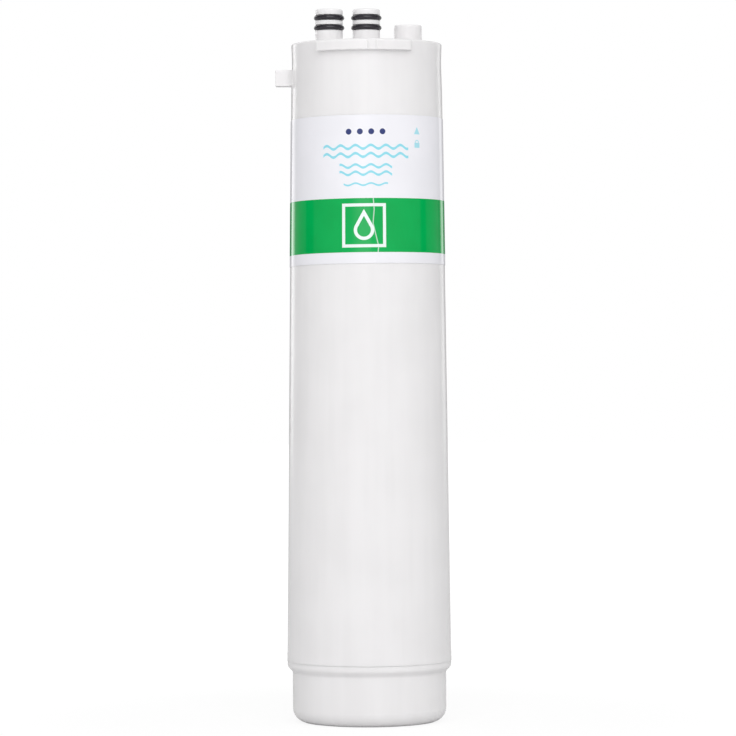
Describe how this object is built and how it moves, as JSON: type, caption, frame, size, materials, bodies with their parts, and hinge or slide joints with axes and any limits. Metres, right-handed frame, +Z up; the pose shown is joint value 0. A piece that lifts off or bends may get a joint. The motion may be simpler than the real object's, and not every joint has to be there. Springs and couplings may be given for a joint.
{
  "type": "reverse osmosis membrane cartridge",
  "caption": "Upright white twist-in membrane cartridge: tapered barrel, head with O-ringed nozzles, drain post, bayonet lugs and tab, wrap label with green band, flanged foot cap.",
  "frame": {"origin": "centre of the flat base, on the axis of the barrel", "axes": "+Z up along the barrel's axis to the nozzles, -Y to the front of the label, +X from the feed nozzle to the drain post"},
  "size_m": [0.0804, 0.0762, 0.3308],
  "materials": {
    "white_moulding": "white moulded polypropylene, satin",
    "black_rubber": "black rubber with a light film of grease",
    "label_white": "white printed film, semi-gloss",
    "label_green": "green print under clear film",
    "inner_moulding": "natural white moulded plastic",
    "membrane_leaves": "wound membrane, spacer mesh and carrier cloth",
    "roll_tape": "film tape"
  },
  "bodies": {
    "root": {"housing_barrel": "white_moulding", "bottom_cap": "white_moulding", "feed_o_ring_upper": "black_rubber", "feed_o_ring_lower": "black_rubber", "product_o_ring_upper": "black_rubber", "product_o_ring_lower": "black_rubber", "label_film": "label_white", "label_green_band": "label_green", "flow_adaptor": "inner_moulding", "adaptor_product_o_ring_upper": "black_rubber", "adaptor_product_o_ring_lower": "black_rubber", "adaptor_drain_o_ring": "black_rubber", "product_tube": "inner_moulding", "tube_o_ring_upper": "black_rubber", "tube_o_ring_lower": "black_rubber", "membrane_roll": "membrane_leaves", "roll_wrap": "roll_tape", "brine_seal": "black_rubber", "bottom_end_ring": "inner_moulding", "tube_end_plug": "inner_moulding", "plug_o_ring": "black_rubber"}
  },
  "joints": []
}
